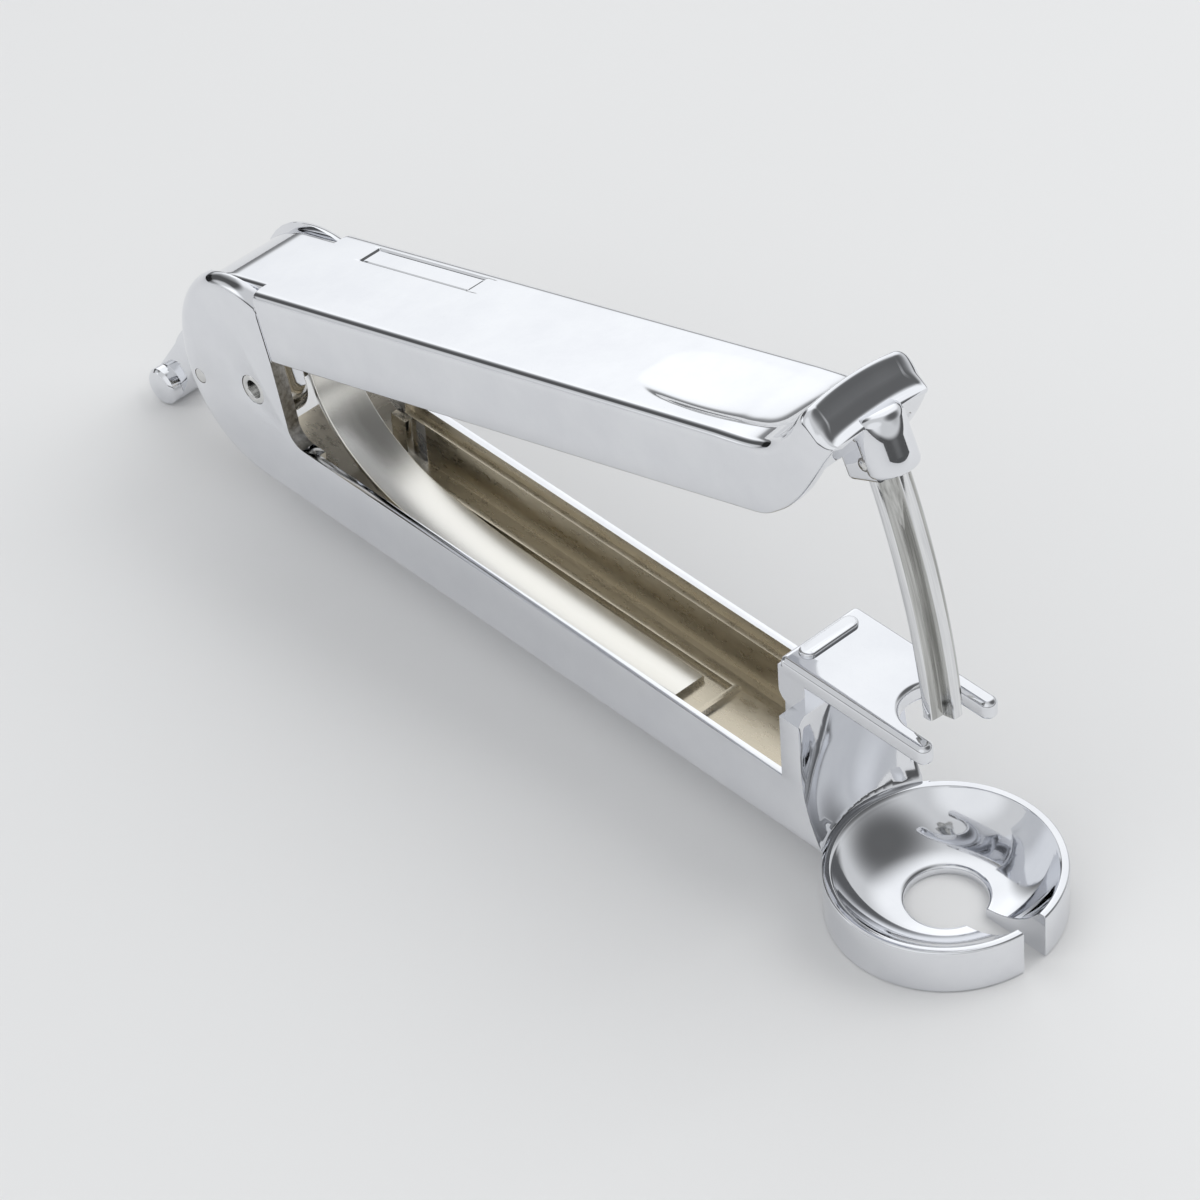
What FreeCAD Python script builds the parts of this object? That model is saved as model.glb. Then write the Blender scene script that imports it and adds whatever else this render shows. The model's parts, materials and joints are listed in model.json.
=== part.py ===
import FreeCAD, Part
import os
from math import asin, cos, degrees, radians, sin, sqrt

V = FreeCAD.Vector
os.makedirs("parts", exist_ok=True)

# Frame: origin at the centre of the stone outlet on the table plane, +Z up,
# +X from the hinge towards the cup, the object mirrored about the XZ plane.
# All lengths in mm, all angles in degrees. The lever stands open, as in the photo.

# Cup ring
ring_r = 16.0
ring_h = 7.1
rim_flat = 1.5
outlet_r = 5.5
outlet_len = 1.4
seat_r = ring_r - rim_flat
seat_drop = 0.5
front_slot_w = 3.9

# Handle of the base casting
body_half_w = 9.4
body_under_z = 5.6
body_floor_z = 7.6
body_rim_z = 16.4
channel_half_w = 7.4
ledge_half_w = 8.3
ledge_depth = 2.0
body_edge_r = 2.4

# Wall behind the cup, which carries the stripper plate
wall_rear_x = -20.0
wall_top_z = 26.9
nest_r_low = ring_r + 0.1
nest_r_mid = 18.0
nest_r_high = 18.9
nest_r_top = 19.3
buttress_rear_x = -22.4
buttress_half_w = 6.0

# Hinge, placed so that the plunger arc comes down through the cup
plunger_arc_r = 124.5
plunger_ahead = 0.8
hinge_x = plunger_ahead - plunger_arc_r
hinge_z = 21.9
pin_r = 2.3
pin_bore_r = 1.35
running_gap = 0.05
cheek_inner_y = 7.3
lug_outer_y = 7.1
lug_inner_y = 4.2
lug_r = 5.6
open_angle = 17.4
seam_gap = 0.25

# Side outline of the hinge cheeks, as steps from the hinge axis
cheek_low_step = (-11.5, -11.6)
cheek_rear_step = (-16.3, 0.0)
cheek_mid_step = (-14.8, 8.3)
cheek_shoulder_step = (-9.5, 14.6)
cheek_crown_step = (-4.7, 16.5)
cheek_top_step = (0.7, 16.8)
cheek_nose_step = (2.1, 16.0)
seam_foot_step = (4.6, 7.4)
cheek_front_step = (6.8, -2.5)
cheek_fillet_step = (7.8, -4.7)
rim_rear_step = 10.1
floor_end_step = 4.8
post_step = 10.2
post_len = 3.0
post_inner_y = 6.2
post_top_z = 14.0

# Lever, drawn level as it lies when it is pressed shut
lever_half_w = 9.4
lever_inner_y = 7.6
lever_under = 5.75
lever_top = 16.4
lever_roof = 2.2
lever_rear_u = -2.6
lever_rear_r = 2.2
cover_end_angle = 128.0
lever_edge_r = 1.4
nose_start_back = 14.9
nose_mid_step = (-6.7, 10.3)
lip_foot_back = 16.5
lip_back_step = (-8.1, 18.6)
lip_crest_back = 2.9
lip_crest_w = 23.4
lip_crest_t = 1.5
lip_hollow_step = (-0.9, 20.6)
lip_edge_ahead = 1.5
lip_edge_w = 19.2
lip_under_step = (1.1, 18.5)
lip_crest_half_w = 7.2
lip_crest_fall = 0.6
lip_shoulder_step = (8.75, 21.6)
lip_side_w = 19.6
plan_start_back = 6.0
plan_mid_step = (-0.4, 8.9)
plan_front_half_w = 7.4
plate_pocket_w = 14.4
pocket_back = 26.5
dish_back = 28.0
dish_half_len = 17.0
dish_half_w = 7.8
dish_depth = 1.7
badge_start_u = 15.4
badge_len = 23.2
badge_inner_y = 4.3
badge_outer_y = 7.9
badge_depth = 0.35

# Plunger, bent to an arc about the hinge so that it stays square to the cup
plunger_r = 2.85
plunger_tip_angle = -11.5
plunger_flute_angle = 1.6
plunger_top_angle = 7.6
flute_r = 1.3
flute_offset = 2.95
boss_r = 3.6
boss_bottom = 11.0
boss_top = 19.2
ear_r = 2.7
ear_back = 3.6
ear_drop = 0.5
boss_ahead = 1.0
cross_pin_r = 0.85
cross_pin_angle = 5.95

# Stripper plate
plate_top_z = 34.0
plate_t = 2.8
plate_half_w = 7.05
plate_rear_x = -22.4
plate_foot_front_x = -17.6
prong_tip_x = 3.6
notch_r = 4.5
notch_x = -1.3
tenon_x = -20.4
tenon_half_t = 1.25
tenon_half_len = 4.85
tenon_gap = 0.04
head_half_t = 1.75
head_half_len = 5.35
head_h = 0.5

# Leaf spring
spring_t = 0.9
spring_half_w = 3.6
spring_foot_half_w = 2.7
spring_reach = 76.2
spring_foot_x = hinge_x + spring_reach
spring_steps = (61.7, 45.7, 31.7, 21.2)
rail_inner_y = spring_half_w + 0.3
rail_t = 0.8
rail_top_z = 8.6
rail_past_spring = 5.1
rail_rear_reach = 16.7
rail_front_x = spring_foot_x + rail_past_spring
rail_rear_x = hinge_x + rail_rear_reach

# Lock lever with its cross peg
lock_back = 11.8
lock_drop = 4.2
lock_x = hinge_x - lock_back
lock_z = hinge_z - lock_drop
lock_pin_r = 1.15
lock_hub_r = 2.7
lock_half_w = 2.5
lock_travel = 25.0
peg_back = 17.0
peg_x = lock_x - peg_back
peg_r = 2.85
peg_half_len = 4.5
catch_r = 10.5
catch_neck_r = 12.6
catch_back_r = 14.3
spur_r = 11.1
spur_chamfer = 0.8
catch_chamfer = 0.5
heel_r = 9.4
heel_half_w = 3.2
catch_angle = 169.7
catch_half_angle = 1.9
spur_angle = 164.2
spur_half_angle = 2.3
heel_root_angle = 190.0

# Lengths that only reach clear of the solids they cut
past_y = 12.0
past_z = 60.0
past_x = 36.3


def box(x0, x1, y0, y1, z0, z1):
    return Part.makeBox(x1 - x0, y1 - y0, z1 - z0, V(x0, y0, z0))


def cyl_y(x, z, r, y0, y1):
    return Part.makeCylinder(r, y1 - y0, V(x, y0, z), V(0, 1, 0))


def line(a, b):
    return Part.LineSegment(V(a[0], 0, a[1]), V(b[0], 0, b[1])).toShape()


def arc(a, m, b):
    return Part.Arc(V(a[0], 0, a[1]), V(m[0], 0, m[1]), V(b[0], 0, b[1])).toShape()


def prism(edges, y0, y1):
    face = Part.Face(Part.Wire(edges))
    face.translate(V(0, y0, 0))
    return face.extrude(V(0, y1 - y0, 0))


def poly_prism(points, y0, y1):
    loop = [V(p[0], y0, p[1]) for p in points]
    face = Part.Face(Part.makePolygon(loop + [loop[0]]))
    return face.extrude(V(0, y1 - y0, 0))


def at_hinge(u, w):
    return (hinge_x + u, hinge_z + w)


def on_arc(radius, angle):
    return at_hinge(radius * cos(radians(angle)), radius * sin(radians(angle)))


def mirrored(solid):
    return solid.fuse(solid.mirror(V(0, 0, 0), V(0, 1, 0)))


def capsule(x, half_t, half_len, z0, z1):
    straight = half_len - half_t
    core = box(x - half_t, x + half_t, -straight, straight, z0, z1)
    for y in (-straight, straight):
        core = core.fuse(Part.makeCylinder(half_t, z1 - z0, V(x, y, z0)))
    return core.removeSplitter()


def swung_open(solid):
    turned = solid.copy()
    turned.rotate(V(hinge_x, 0, hinge_z), V(0, 1, 0), -open_angle)
    return turned


def save(solid, name):
    solid = solid.removeSplitter()
    solid.exportStep("parts/" + name + ".step")
    print(name, "solids", len(solid.Solids), "valid", solid.isValid(), "volume", round(solid.Volume, 1))


# Base casting: side outline of the handle with its two hinge cheeks
under_start = (hinge_x, body_under_z)
cheek_low = at_hinge(*cheek_low_step)
cheek_rear = at_hinge(*cheek_rear_step)
cheek_mid = at_hinge(*cheek_mid_step)
cheek_shoulder = at_hinge(*cheek_shoulder_step)
cheek_crown = at_hinge(*cheek_crown_step)
cheek_top = at_hinge(*cheek_top_step)
cheek_nose = at_hinge(*cheek_nose_step)
seam_foot = at_hinge(*seam_foot_step)
cheek_front_low = at_hinge(*cheek_front_step)
cheek_fillet = at_hinge(*cheek_fillet_step)
rim_rear = (hinge_x + rim_rear_step, body_rim_z)
outline = [
    line((-10.0, body_under_z), under_start),
    arc(under_start, cheek_low, cheek_rear),
    arc(cheek_rear, cheek_mid, cheek_shoulder),
    arc(cheek_shoulder, cheek_crown, cheek_top),
    line(cheek_top, cheek_nose),
    line(cheek_nose, seam_foot),
    line(seam_foot, cheek_front_low),
    arc(cheek_front_low, cheek_fillet, rim_rear),
    line(rim_rear, (wall_rear_x, body_rim_z)),
    line((wall_rear_x, body_rim_z), (wall_rear_x, wall_top_z)),
    line((wall_rear_x, wall_top_z), (-10.0, wall_top_z)),
    line((-10.0, wall_top_z), (-10.0, body_under_z)),
]
handle = prism(outline, -body_half_w, body_half_w)
rounded = []
for edge in handle.Edges:
    centre = edge.CenterOfMass
    on_side = abs(abs(centre.y) - body_half_w) < 0.01
    outer = centre.z < body_under_z + 0.01 or centre.x < cheek_shoulder[0] + 4.9
    if on_side and outer and edge.BoundBox.YLength < 0.01:
        rounded.append(edge)
handle = handle.makeFillet(body_edge_r, rounded)

ring = Part.makeCylinder(ring_r, ring_h, V(0, 0, 0))
base = handle.fuse(ring)
base = base.fuse(box(buttress_rear_x, wall_rear_x + 1.0, -buttress_half_w, buttress_half_w,
                     body_floor_z - 1.0, wall_top_z))

# Cup seat, outlet and the hollow front of the wall, all turned about the cup axis
seat_z = ring_h - seat_drop
nest_profile = [
    line((0, -1.0), (outlet_r, -1.0)),
    line((outlet_r, -1.0), (outlet_r, outlet_len)),
    arc((outlet_r, outlet_len), (10.6, 3.2), (seat_r, seat_z)),
    line((seat_r, seat_z), (seat_r + seat_drop, ring_h)),
    line((seat_r + seat_drop, ring_h), (nest_r_low, ring_h)),
    arc((nest_r_low, ring_h), (nest_r_mid, 12.3), (nest_r_high, 19.6)),
    line((nest_r_high, 19.6), (nest_r_top, 40.0)),
    line((nest_r_top, 40.0), (0, 40.0)),
    line((0, 40.0), (0, -1.0)),
]
nest = Part.Face(Part.Wire(nest_profile)).revolve(V(0, 0, 0), V(0, 0, 1), 360)
base = base.cut(nest)
base = base.cut(box(0, ring_r + 1.0, -front_slot_w / 2, front_slot_w / 2, -1.0, ring_h + 1.0))

# Channel of the handle, its ledge, and the open space between the cheeks
rear_end_x = hinge_x - past_x
floor_end_x = hinge_x - floor_end_step
base = base.cut(box(rear_end_x, buttress_rear_x, -channel_half_w + 0.1, channel_half_w - 0.1,
                    body_floor_z, past_z))
base = base.cut(mirrored(box(rim_rear[0] + 6.0, wall_rear_x, buttress_half_w, channel_half_w,
                             body_floor_z, past_z)))
base = base.cut(mirrored(box(rim_rear[0] + 2.0, wall_rear_x, channel_half_w - 0.2, ledge_half_w,
                             body_rim_z - ledge_depth, past_z)))
base = base.cut(box(rear_end_x, floor_end_x, -cheek_inner_y, cheek_inner_y, -1.0, past_z))

# Rails that locate the spring foot, and one post on each wall behind them
rails = mirrored(box(rail_rear_x, rail_front_x, rail_inner_y, rail_inner_y + rail_t,
                     body_floor_z - 0.5, rail_top_z))
rails = rails.fuse(box(rail_front_x - rail_t, rail_front_x, -rail_inner_y - 0.1, rail_inner_y + 0.1,
                       body_floor_z - 0.5, rail_top_z))
post_x = hinge_x + post_step
posts = mirrored(box(post_x, post_x + post_len, post_inner_y, channel_half_w + 0.3,
                     body_floor_z - 0.5, post_top_z))
base = base.fuse([rails, posts])

# Tenon that holds the stripper plate, with its peened head
tenon = capsule(tenon_x, tenon_half_t, tenon_half_len, wall_top_z - 4.0, plate_top_z + 0.1)
head = capsule(tenon_x, head_half_t, head_half_len, plate_top_z, plate_top_z + head_h)
head = head.makeFillet(0.4, [e for e in head.Edges if e.CenterOfMass.z > plate_top_z + head_h - 0.01
                             and e.BoundBox.ZLength < 0.01])
base = base.fuse([tenon, head])

# Holes of the two cross pins
base = base.cut(cyl_y(hinge_x, hinge_z, pin_r, -past_y, past_y))
base = base.cut(cyl_y(lock_x, lock_z, lock_pin_r, -past_y, past_y))
save(base, "base_casting")

# Hinge pin, a tube pressed into the cheeks
hinge_pin = cyl_y(hinge_x, hinge_z, pin_r, -body_half_w, body_half_w)
hinge_pin = hinge_pin.cut(cyl_y(hinge_x, hinge_z, pin_bore_r, -past_y, past_y))
save(hinge_pin, "hinge_pin")

# Lever casting, outer form level
nose_start = at_hinge(plunger_arc_r - nose_start_back, lever_under)
nose_mid = at_hinge(plunger_arc_r + nose_mid_step[0], nose_mid_step[1])
nose_end = at_hinge(plunger_arc_r + lip_under_step[0], lip_under_step[1])
rear_low = at_hinge(lever_rear_u - 1.9, lever_under)
rear_high = at_hinge(lever_rear_u, lever_top - lever_rear_r)
rear_short = lever_rear_r * (1 - sqrt(0.5))
rear_round = at_hinge(lever_rear_u + rear_short, lever_top - rear_short)
rear_top = at_hinge(lever_rear_u + lever_rear_r, lever_top)
top_z = hinge_z + lever_top
lever_outline = [
    line(rear_low, nose_start),
    arc(nose_start, nose_mid, nose_end),
    line(nose_end, (nose_end[0] - 0.6, top_z)),
    line((nose_end[0] - 0.6, top_z), rear_top),
    arc(rear_top, rear_round, rear_high),
    line(rear_high, rear_low),
]
lever = prism(lever_outline, -lever_half_w, lever_half_w)
flat_y = lever_half_w - lever_edge_r
slab_x = hinge_x - past_x
slab_low = -20.0
section = []
for side in (1, -1):
    low = V(slab_x, side * lever_half_w, slab_low)
    high = V(slab_x, side * lever_half_w, top_z - lever_edge_r)
    middle_y = side * (flat_y + lever_edge_r * sqrt(0.5))
    middle = V(slab_x, middle_y, top_z - lever_edge_r * (1 - sqrt(0.5)))
    inner = V(slab_x, side * flat_y, top_z)
    section.append(Part.LineSegment(low, high).toShape())
    section.append(Part.Arc(high, middle, inner).toShape())
top_left = V(slab_x, flat_y, top_z)
top_right = V(slab_x, -flat_y, top_z)
low_left = V(slab_x, lever_half_w, slab_low)
low_right = V(slab_x, -lever_half_w, slab_low)
section.append(Part.LineSegment(top_left, top_right).toShape())
section.append(Part.LineSegment(low_left, low_right).toShape())
section_face = Part.Face(Part.Wire(Part.sortEdges(section)[0]))
lever = lever.common(section_face.extrude(V(past_x + plunger_arc_r + past_x, 0, 0)))

# Upturned lip at the front of the lever, its crest rounded down to both sides
lip_foot = at_hinge(plunger_arc_r - lip_foot_back, lever_top - 1.0)
lip_back = at_hinge(plunger_arc_r + lip_back_step[0], lip_back_step[1])
lip_top_rear = at_hinge(plunger_arc_r - lip_crest_back - lip_crest_t, lip_crest_w + 0.2)
lip_crest = at_hinge(plunger_arc_r - lip_crest_back, lip_crest_w + 0.2)
lip_hollow = at_hinge(plunger_arc_r + lip_hollow_step[0], lip_hollow_step[1])
lip_edge = at_hinge(plunger_arc_r + lip_edge_ahead, lip_edge_w)
lip_under = at_hinge(plunger_arc_r + lip_under_step[0], lip_under_step[1])
lip_heel = at_hinge(plunger_arc_r - 0.6, lever_top - 1.0)
lip = prism([arc(lip_foot, lip_back, lip_top_rear), line(lip_top_rear, lip_crest),
             arc(lip_crest, lip_hollow, lip_edge), line(lip_edge, lip_under),
             line(lip_under, lip_heel), line(lip_heel, lip_foot)],
            -lever_half_w, lever_half_w)
crown = []
crown_low = V(slab_x, 0, hinge_z)
for side in (1, -1):
    side_low = V(slab_x, side * lever_half_w, hinge_z)
    side_high = V(slab_x, side * lever_half_w, hinge_z + lip_side_w)
    shoulder = V(slab_x, side * lip_shoulder_step[0], hinge_z + lip_shoulder_step[1])
    crest_end = V(slab_x, side * lip_crest_half_w, hinge_z + lip_crest_w - lip_crest_fall)
    crown.append(Part.LineSegment(crown_low, side_low).toShape())
    crown.append(Part.LineSegment(side_low, side_high).toShape())
    crown.append(Part.Arc(side_high, shoulder, crest_end).toShape())
crown.append(Part.Arc(V(slab_x, lip_crest_half_w, crest_end.z), V(slab_x, 0, hinge_z + lip_crest_w),
                      V(slab_x, -lip_crest_half_w, crest_end.z)).toShape())
crown_face = Part.Face(Part.Wire(Part.sortEdges(crown)[0]))
lip = lip.common(crown_face.extrude(V(past_x + plunger_arc_r + past_x, 0, 0)))
lever = lever.fuse(lip)

# Rounded plan of the lever's nose and lip
plan_a = hinge_x + plunger_arc_r - plan_start_back
plan_b = hinge_x + plunger_arc_r + plan_mid_step[0]
plan_c = hinge_x + plunger_arc_r + lip_edge_ahead + 0.01
plan = []
for side in (1, -1):
    wide = V(plan_a, side * lever_half_w, 0)
    bent = V(plan_b, side * plan_mid_step[1], 0)
    front = V(plan_c, side * plan_front_half_w, 0)
    behind = V(slab_x, side * lever_half_w, 0)
    plan.append(Part.Arc(wide, bent, front).toShape())
    plan.append(Part.LineSegment(wide, behind).toShape())
front_left = V(plan_c, plan_front_half_w, 0)
front_right = V(plan_c, -plan_front_half_w, 0)
behind_left = V(slab_x, lever_half_w, 0)
behind_right = V(slab_x, -lever_half_w, 0)
plan.append(Part.LineSegment(front_left, front_right).toShape())
plan.append(Part.LineSegment(behind_left, behind_right).toShape())
plan_face = Part.Face(Part.Wire(Part.sortEdges(plan)[0]))
lever = lever.common(plan_face.extrude(V(0, 0, past_z + past_x)))

# Hollow underside, and room for the stripper plate when the lever is shut
roof_w = lever_top - lever_roof
hollow_start_u = -0.6
hollow_rise_u = plunger_arc_r - 17.1
hollow_front_u = plunger_arc_r - 6.6
hollow = poly_prism([at_hinge(hollow_start_u, slab_low), at_hinge(hollow_rise_u, slab_low),
                     at_hinge(hollow_rise_u, lever_under), at_hinge(hollow_front_u, roof_w - 2.0),
                     at_hinge(hollow_front_u, roof_w), at_hinge(hollow_start_u, roof_w)],
                    -lever_inner_y, lever_inner_y)
lever = lever.cut(hollow)
pocket_x = hinge_x + plunger_arc_r - pocket_back
lever = lever.cut(box(pocket_x, hinge_x + plunger_arc_r + past_y, -lever_inner_y, lever_inner_y,
                      hinge_z - 5.0, hinge_z + plate_pocket_w))

# Thumb dish and the bare name panel
across_r = (dish_half_w ** 2 + dish_depth ** 2) / (2 * dish_depth)
along_r = (dish_half_len ** 2 + dish_depth ** 2) / (2 * dish_depth)
dish_axis_z = hinge_z + lever_top - dish_depth + across_r
dish_x = hinge_x + plunger_arc_r - dish_back
dish_left = (dish_x - dish_half_len, hinge_z + lever_top)
dish_right = (dish_x + dish_half_len, hinge_z + lever_top)
dish_low = (dish_x, hinge_z + lever_top - dish_depth)
dish = Part.Face(Part.Wire([arc(dish_left, dish_low, dish_right),
                            line(dish_right, (dish_right[0], dish_axis_z)),
                            line((dish_right[0], dish_axis_z), (dish_left[0], dish_axis_z)),
                            line((dish_left[0], dish_axis_z), dish_left)]))
dish = dish.revolve(V(dish_x, 0, dish_axis_z), V(1, 0, 0), 360)
lever = lever.cut(dish)
badge = box(hinge_x + badge_start_u, hinge_x + badge_start_u + badge_len,
            badge_inner_y, badge_outer_y, top_z - badge_depth, hinge_z + past_z)
lever = lever.cut(badge)

# Lugs about the hinge pin and the heel with its spur
lug = cyl_y(hinge_x, hinge_z, lug_r, lug_inner_y, lug_outer_y)
lug = lug.fuse(poly_prism([at_hinge(-lug_r + 0.05, 0.0), at_hinge(-3.2, lever_top - 1.0),
                           at_hinge(7.0, lever_top - 1.0), at_hinge(lug_r - 0.05, 0.0)],
                          lug_inner_y, lug_outer_y))
lever = lever.fuse(mirrored(lug))
spur_ahead = spur_angle - spur_half_angle
spur_behind = spur_angle + spur_half_angle
heel = poly_prism([on_arc(pin_r + 1.4, heel_root_angle), on_arc(heel_r, spur_behind + 0.8),
                   on_arc(heel_r, spur_angle - 14.0),
                   at_hinge(-3.0, lever_top - 2.0), at_hinge(-0.6, lever_top - 2.0),
                   on_arc(pin_r + 1.4, 110.0)],
                  -heel_half_w, heel_half_w)
spur = poly_prism([on_arc(heel_r - 2.0, spur_ahead - 0.6), on_arc(spur_r - spur_chamfer, spur_ahead),
                   on_arc(spur_r, spur_behind), on_arc(heel_r - 2.0, spur_behind + 0.6)],
                  -heel_half_w, heel_half_w)
bridge = poly_prism([at_hinge(-5.0, 2.5), on_arc(heel_r - 1.0, 150.0),
                     at_hinge(-3.4, 9.0), at_hinge(-2.4, 9.0)],
                    -lug_outer_y, lug_outer_y)
lever = lever.fuse([heel, spur, bridge])

# Rounded cover behind the hinge, about the same axis and just inside the cheeks
cover_mid_angle = (90.0 + cover_end_angle) / 2
cover_r = lever_top
cover_inner_r = lever_top - lever_roof
cover_edges = [
    arc(on_arc(cover_r, 90.0), on_arc(cover_r, cover_mid_angle), on_arc(cover_r, cover_end_angle)),
    line(on_arc(cover_r, cover_end_angle), on_arc(cover_inner_r, cover_end_angle)),
    arc(on_arc(cover_inner_r, cover_end_angle), on_arc(cover_inner_r, cover_mid_angle),
        on_arc(cover_inner_r, 90.0)),
    line(on_arc(cover_inner_r, 90.0), on_arc(cover_r, 90.0)),
]
lever = lever.fuse(prism(cover_edges, -lug_outer_y, lug_outer_y))

# Plunger boss under the lip, tilted with the plunger arc
boss_tilt = degrees(asin((boss_bottom + boss_top) / 2 / plunger_arc_r))
boss_axis = V(-sin(radians(boss_tilt)), 0, cos(radians(boss_tilt)))
boss_len = boss_top - boss_bottom
boss_x = hinge_x + plunger_arc_r + boss_ahead
boss_foot = V(boss_x, 0, hinge_z + boss_bottom)
ear_foot = V(boss_x - ear_back, 0, hinge_z + boss_bottom - ear_drop)
barrel = Part.makeCylinder(boss_r, boss_len, boss_foot, boss_axis)
crown_edges = [e for e in barrel.Edges if e.CenterOfMass.z > boss_foot.z + boss_len * 0.8]
barrel = barrel.makeFillet(1.0, crown_edges)
ear = Part.makeCylinder(ear_r, boss_len, ear_foot, boss_axis)
link = box(ear_foot.x, boss_foot.x, -ear_r, ear_r, ear_foot.z, ear_foot.z + boss_len - 1.5)
link.rotate(ear_foot, V(0, 1, 0), -boss_tilt)
lever = lever.fuse([barrel, ear, link])


# Plunger: a fluted rod, turned about the hinge
def rod_section(fluted):
    disc = Part.Face(Part.Wire(Part.makeCircle(plunger_r, V(0, 0, 0), V(0, 0, 1))))
    if fluted:
        for sx in (-1, 1):
            for sy in (-1, 1):
                spot = V(sx * flute_offset * sqrt(0.5), sy * flute_offset * sqrt(0.5), 0)
                groove = Part.Face(Part.Wire(Part.makeCircle(flute_r, spot, V(0, 0, 1))))
                disc = disc.cut(groove)
    return disc


def rod_piece(fluted, start, stop):
    face = rod_section(fluted)
    face.translate(V(hinge_x + plunger_arc_r, 0, hinge_z))
    face.rotate(V(hinge_x, 0, hinge_z), V(0, 1, 0), -start)
    return face.revolve(V(hinge_x, 0, hinge_z), V(0, -1, 0), stop - start)


plunger = rod_piece(True, plunger_tip_angle, plunger_flute_angle)
plunger = plunger.fuse(rod_piece(False, plunger_flute_angle, plunger_top_angle))
cross_spot = on_arc(plunger_arc_r, cross_pin_angle)
cross_hole = cyl_y(cross_spot[0], cross_spot[1], cross_pin_r, -past_y, past_y)
lever = lever.cut(rod_piece(False, plunger_flute_angle, plunger_top_angle))
lever = lever.cut(cross_hole)
plunger = plunger.cut(cross_hole)
cross_pin = cyl_y(cross_spot[0], cross_spot[1], cross_pin_r, -ear_r - 0.55, ear_r + 0.55)

# Bore of the hinge, then the lever swung open and trimmed to the cheeks
lever = lever.cut(cyl_y(hinge_x, hinge_z, pin_r + running_gap, -past_y, past_y))
lever = swung_open(lever)
seam_nose_x = cheek_nose[0] + seam_gap
behind_seam = poly_prism([(seam_nose_x - 1.2, cheek_nose[1] + 4.0), (seam_nose_x, cheek_nose[1]),
                          (seam_foot[0] + seam_gap, seam_foot[1]),
                          (seam_foot[0] + 2.5, seam_foot[1] - 10.0),
                          (slab_x, 0.0), (slab_x, past_z), (seam_nose_x - 1.2, past_z)],
                         lug_outer_y, past_y)
lever = lever.cut(mirrored(behind_seam))
save(lever, "lever_casting")
save(swung_open(plunger), "plunger")
save(swung_open(cross_pin), "plunger_pin")

# Stripper plate with its foot on the wall and a notch for the plunger
plate = box(plate_rear_x, prong_tip_x, -plate_half_w, plate_half_w, plate_top_z - plate_t, plate_top_z)
plate_foot = box(plate_rear_x, plate_foot_front_x, -plate_half_w, plate_half_w, wall_top_z, plate_top_z)
plate = plate.fuse(plate_foot)
notch = Part.makeCylinder(notch_r, 2 * past_y, V(notch_x, 0, plate_top_z - past_y))
notch = notch.fuse(box(notch_x, prong_tip_x + past_y, -notch_r, notch_r,
                       plate_top_z - past_y, plate_top_z + past_y))
plate = plate.cut(notch)
prong_edges = []
for edge in plate.Edges:
    upright = edge.BoundBox.XLength < 0.01 and edge.BoundBox.YLength < 0.01
    if upright and edge.CenterOfMass.x > prong_tip_x - 0.01:
        prong_edges.append(edge)
plate = plate.makeFillet(1.2, prong_edges)
foot_edges = []
for edge in plate.Edges:
    along_y = edge.BoundBox.XLength < 0.01 and edge.BoundBox.ZLength < 0.01
    if along_y and edge.CenterOfMass.x < plate_rear_x + 0.01 and edge.CenterOfMass.z < wall_top_z + 0.01:
        foot_edges.append(edge)
plate = plate.makeFillet(2.0, foot_edges)
plate = plate.cut(capsule(tenon_x, tenon_half_t + tenon_gap, tenon_half_len + tenon_gap,
                          wall_top_z - 1.0, plate_top_z + 2.0))
save(plate, "stripper_plate")

# Leaf spring: flat foot in the rails, swept up in front of the hinge to the roof
foot_z = body_floor_z + spring_t / 2
foot_w = foot_z - hinge_z
spring_path = [
    (spring_foot_x, foot_z),
    at_hinge(spring_steps[0], foot_w),
    at_hinge(spring_steps[1], foot_w + 0.05),
    at_hinge(spring_steps[2], foot_w + 0.45),
    at_hinge(spring_steps[3], foot_w + 1.9),
    at_hinge(13.7, -8.7),
    at_hinge(8.3, -3.7),
    at_hinge(5.4, 2.5),
    at_hinge(4.8, 8.6),
    at_hinge(6.3, 13.7),
    at_hinge(10.5, 17.45),
]
curve = Part.BSplineCurve()
curve.interpolate([V(p[0], 0, p[1]) for p in spring_path])
upper = []
lower = []
steps = 48
for i in range(steps + 1):
    t = curve.FirstParameter + (curve.LastParameter - curve.FirstParameter) * i / steps
    here = curve.value(t)
    way = curve.tangent(t)[0]
    normal = V(way.z, 0, -way.x) * (spring_t / 2)
    upper.append(here + normal)
    lower.append(here - normal)
upper_curve = Part.BSplineCurve()
upper_curve.interpolate(upper)
lower_curve = Part.BSplineCurve()
lower_curve.interpolate(lower)
band = Part.Wire([upper_curve.toShape(), Part.LineSegment(upper[-1], lower[-1]).toShape(),
                  lower_curve.toShape(), Part.LineSegment(lower[0], upper[0]).toShape()])
spring = Part.Face(band)
spring.translate(V(0, -spring_half_w, 0))
spring = spring.extrude(V(0, 2 * spring_half_w, 0))
taper_start = hinge_x + 25.7
taper_end = spring_foot_x + 7.5
for side in (1, -1):
    full = V(taper_start, side * spring_half_w, 0)
    beside = V(taper_end, side * spring_half_w, 0)
    narrow = V(taper_end, side * (spring_foot_half_w - 0.12), 0)
    wedge = Part.Face(Part.makePolygon([full, beside, narrow, full]))
    spring = spring.cut(wedge.extrude(V(0, 0, past_z)))
save(spring, "leaf_spring")

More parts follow.
